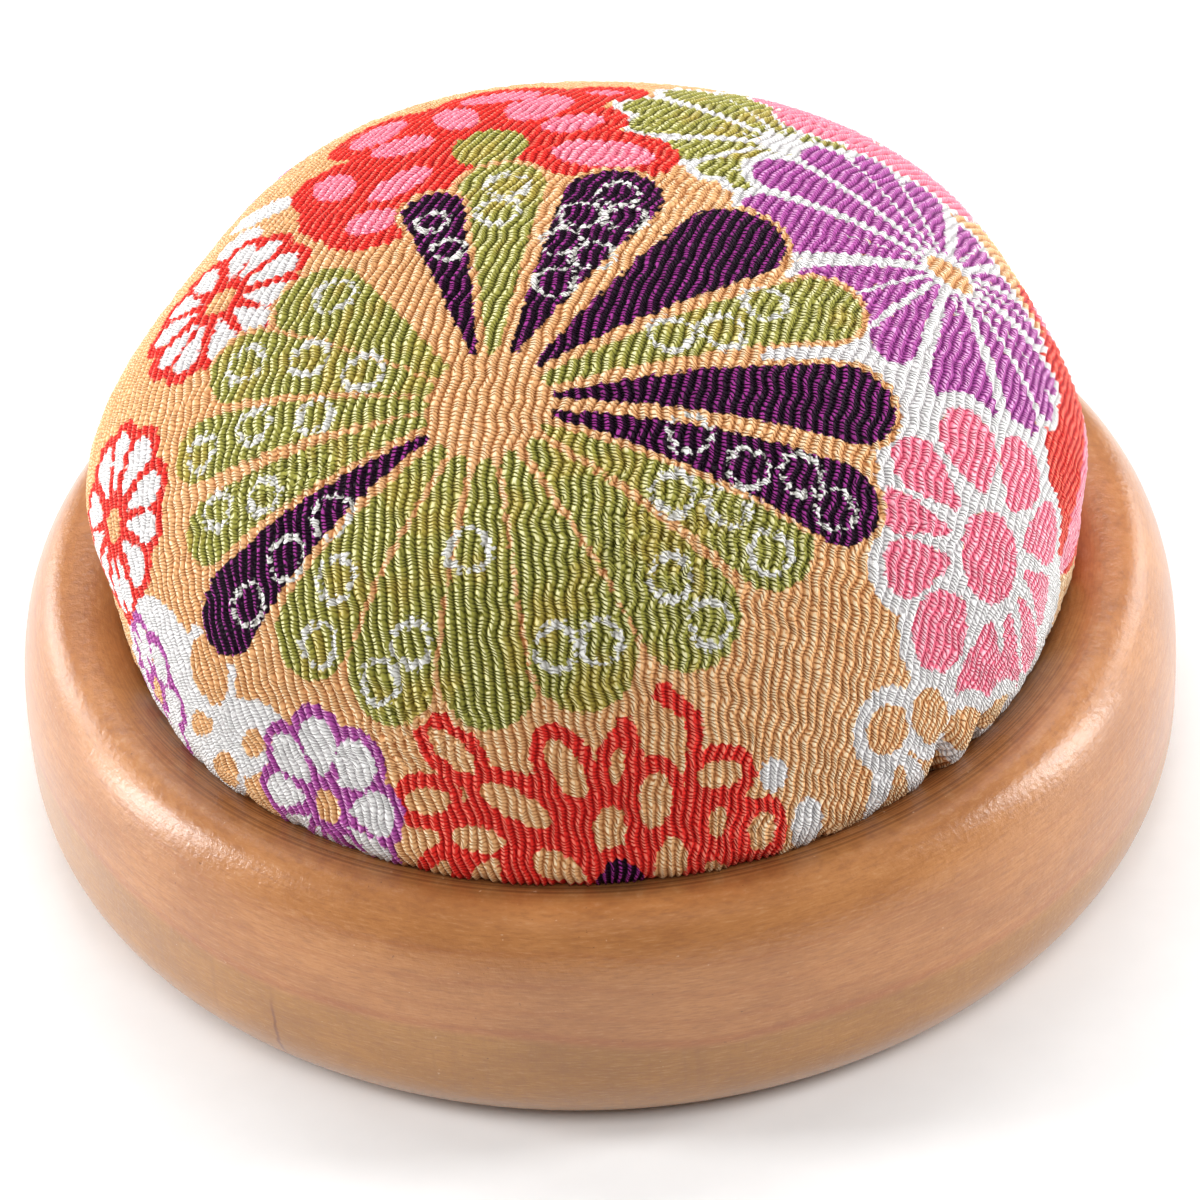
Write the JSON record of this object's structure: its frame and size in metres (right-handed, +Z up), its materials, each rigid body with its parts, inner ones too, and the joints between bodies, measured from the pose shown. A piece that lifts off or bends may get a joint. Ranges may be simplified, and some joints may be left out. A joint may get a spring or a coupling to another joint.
{
  "type": "pin cushion",
  "caption": "Pin cushion: a firmly stuffed dome of printed crepe fabric seated in a round turned wooden dish with a full rounded rim.",
  "frame": {"origin": "centre of the dish's flat underside, where it stands on a table", "axes": "+Z up through the top of the dome, -Y towards the viewer of the picture, +X to that viewer's right"},
  "size_m": [0.085, 0.085, 0.0476],
  "materials": {
    "turned_wood": "satin clear lacquer over pale reddish hardwood",
    "printed_crepe": "ribbed silky crepe with a printed flower pattern",
    "fibrefill": "matt packed polyester fibre",
    "greyboard": "matt uncoated board",
    "sewing_thread": "twisted thread",
    "hot_melt": "waxy set glue"
  },
  "bodies": {
    "root": {"wood_base": "turned_wood", "cushion_cover": "printed_crepe", "stuffing_core": "fibrefill", "backing_disc": "greyboard", "gathering_thread": "sewing_thread", "glue_bead": "hot_melt"}
  },
  "joints": []
}
